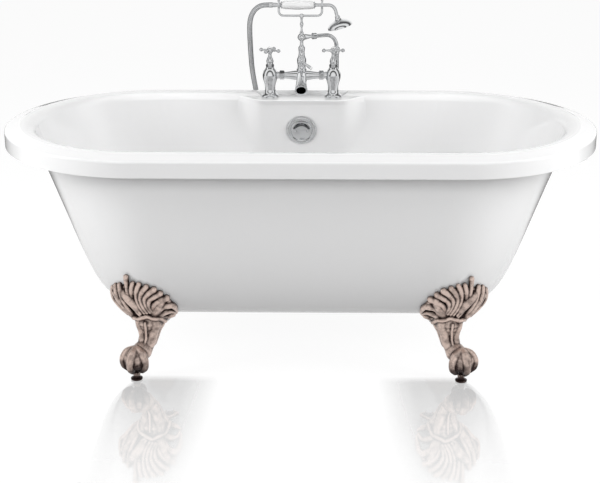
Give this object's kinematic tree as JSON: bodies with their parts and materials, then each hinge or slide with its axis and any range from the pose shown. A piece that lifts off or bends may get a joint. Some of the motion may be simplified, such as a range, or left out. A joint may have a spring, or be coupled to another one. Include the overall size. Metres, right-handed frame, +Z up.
{
  "type": "clawfoot bathtub",
  "caption": "Double-ended roll-top bath on claw-and-ball feet, with a deck bath mixer, cradle handset, hose, overflow and waste.",
  "frame": {"origin": "on the floor under the middle of the rim", "axes": "+X along the bath to the cold side, -Y away from the taps towards the viewer, +Z up"},
  "size_m": [1.55, 0.8023, 0.9085],
  "materials": {
    "white_enamel": "glossy vitreous enamel on cast iron",
    "antique_copper": "antique copper lacquer on cast iron",
    "chrome_plate": "polished chrome on brass",
    "bright_steel": "zinc plated",
    "thread_brass": "turned",
    "white_ceramic": "glazed, glossy",
    "black_rubber": "matt",
    "foot_pad": "dark zinc",
    "hose_metal": "wound metal sleeve"
  },
  "bodies": {
    "bath": {"bath_shell": "white_enamel", "claw_foot_front_left": "antique_copper", "claw_foot_front_right": "antique_copper", "claw_foot_back_left": "antique_copper", "claw_foot_back_right": "antique_copper", "foot_bolts": "bright_steel", "foot_washers": "bright_steel", "foot_locknuts": "bright_steel", "waste_gaskets": "black_rubber", "overflow_gasket": "black_rubber", "tap_washers": "black_rubber", "tap_backnuts": "thread_brass", "waste_flange": "chrome_plate", "waste_tee": "chrome_plate", "overflow_plate": "chrome_plate", "overflow_screws": "chrome_plate", "overflow_elbow": "chrome_plate", "overflow_pipe": "chrome_plate", "hot_pillar": "chrome_plate", "cold_pillar": "chrome_plate", "hot_bonnet": "chrome_plate", "cold_bonnet": "chrome_plate", "centre_body": "chrome_plate", "union_nuts": "chrome_plate", "diverter_body": "chrome_plate", "riser": "chrome_plate", "ball_joint": "chrome_plate", "swan_neck": "chrome_plate", "swan_neck_nut": "chrome_plate", "hose_nut": "chrome_plate", "cradle_stem": "chrome_plate", "cradle": "chrome_plate", "hose": "hose_metal"},
    "hot_valve": {"hot_handle": "chrome_plate", "hot_spindle": "thread_brass", "hot_index": "white_ceramic"},
    "cold_valve": {"cold_handle": "chrome_plate", "cold_spindle": "thread_brass", "cold_index": "white_ceramic"},
    "diverter": {"diverter_lever": "chrome_plate", "diverter_tip": "white_ceramic"},
    "handset": {"handset_tube": "chrome_plate", "handset_grip": "white_ceramic", "handset_ferrules": "chrome_plate", "handset_connector": "chrome_plate", "rose": "chrome_plate", "rose_plate": "chrome_plate"},
    "plug": {"waste_plug": "chrome_plate"},
    "leveller_front_left": {"levelling_foot_front_left": "foot_pad"},
    "leveller_front_right": {"levelling_foot_front_right": "foot_pad"},
    "leveller_back_left": {"levelling_foot_back_left": "foot_pad"},
    "leveller_back_right": {"levelling_foot_back_right": "foot_pad"}
  },
  "joints": [
    {"name": "hot_turn", "type": "hinge", "parent": "bath", "child": "hot_valve", "pos_m": [-0.09, 0.303, 0.764], "axis": [0, 0, 1], "range_deg": [0, 90]},
    {"name": "cold_turn", "type": "hinge", "parent": "bath", "child": "cold_valve", "pos_m": [0.09, 0.303, 0.764], "axis": [0, 0, 1], "range_deg": [-90, 0]},
    {"name": "diverter_turn", "type": "hinge", "parent": "bath", "child": "diverter", "pos_m": [0, 0.281, 0.738], "axis": [0, -1, 0], "range_deg": [0, 90]},
    {"name": "handset_lift", "type": "slide", "parent": "bath", "child": "handset", "axis": [0, 0, 1], "range_m": [0, 0.12]},
    {"name": "plug_lift", "type": "slide", "parent": "bath", "child": "plug", "axis": [0, 0, 1], "range_m": [0, 0.009]},
    {"name": "level_front_left", "type": "hinge", "parent": "bath", "child": "leveller_front_left", "pos_m": [-0.425, -0.25, 0.02], "axis": [0, 0, 1], "continuous": true},
    {"name": "level_front_right", "type": "hinge", "parent": "bath", "child": "leveller_front_right", "pos_m": [0.425, -0.25, 0.02], "axis": [0, 0, 1], "continuous": true},
    {"name": "level_back_left", "type": "hinge", "parent": "bath", "child": "leveller_back_left", "pos_m": [-0.425, 0.25, 0.02], "axis": [0, 0, 1], "continuous": true},
    {"name": "level_back_right", "type": "hinge", "parent": "bath", "child": "leveller_back_right", "pos_m": [0.425, 0.25, 0.02], "axis": [0, 0, 1], "continuous": true}
  ]
}
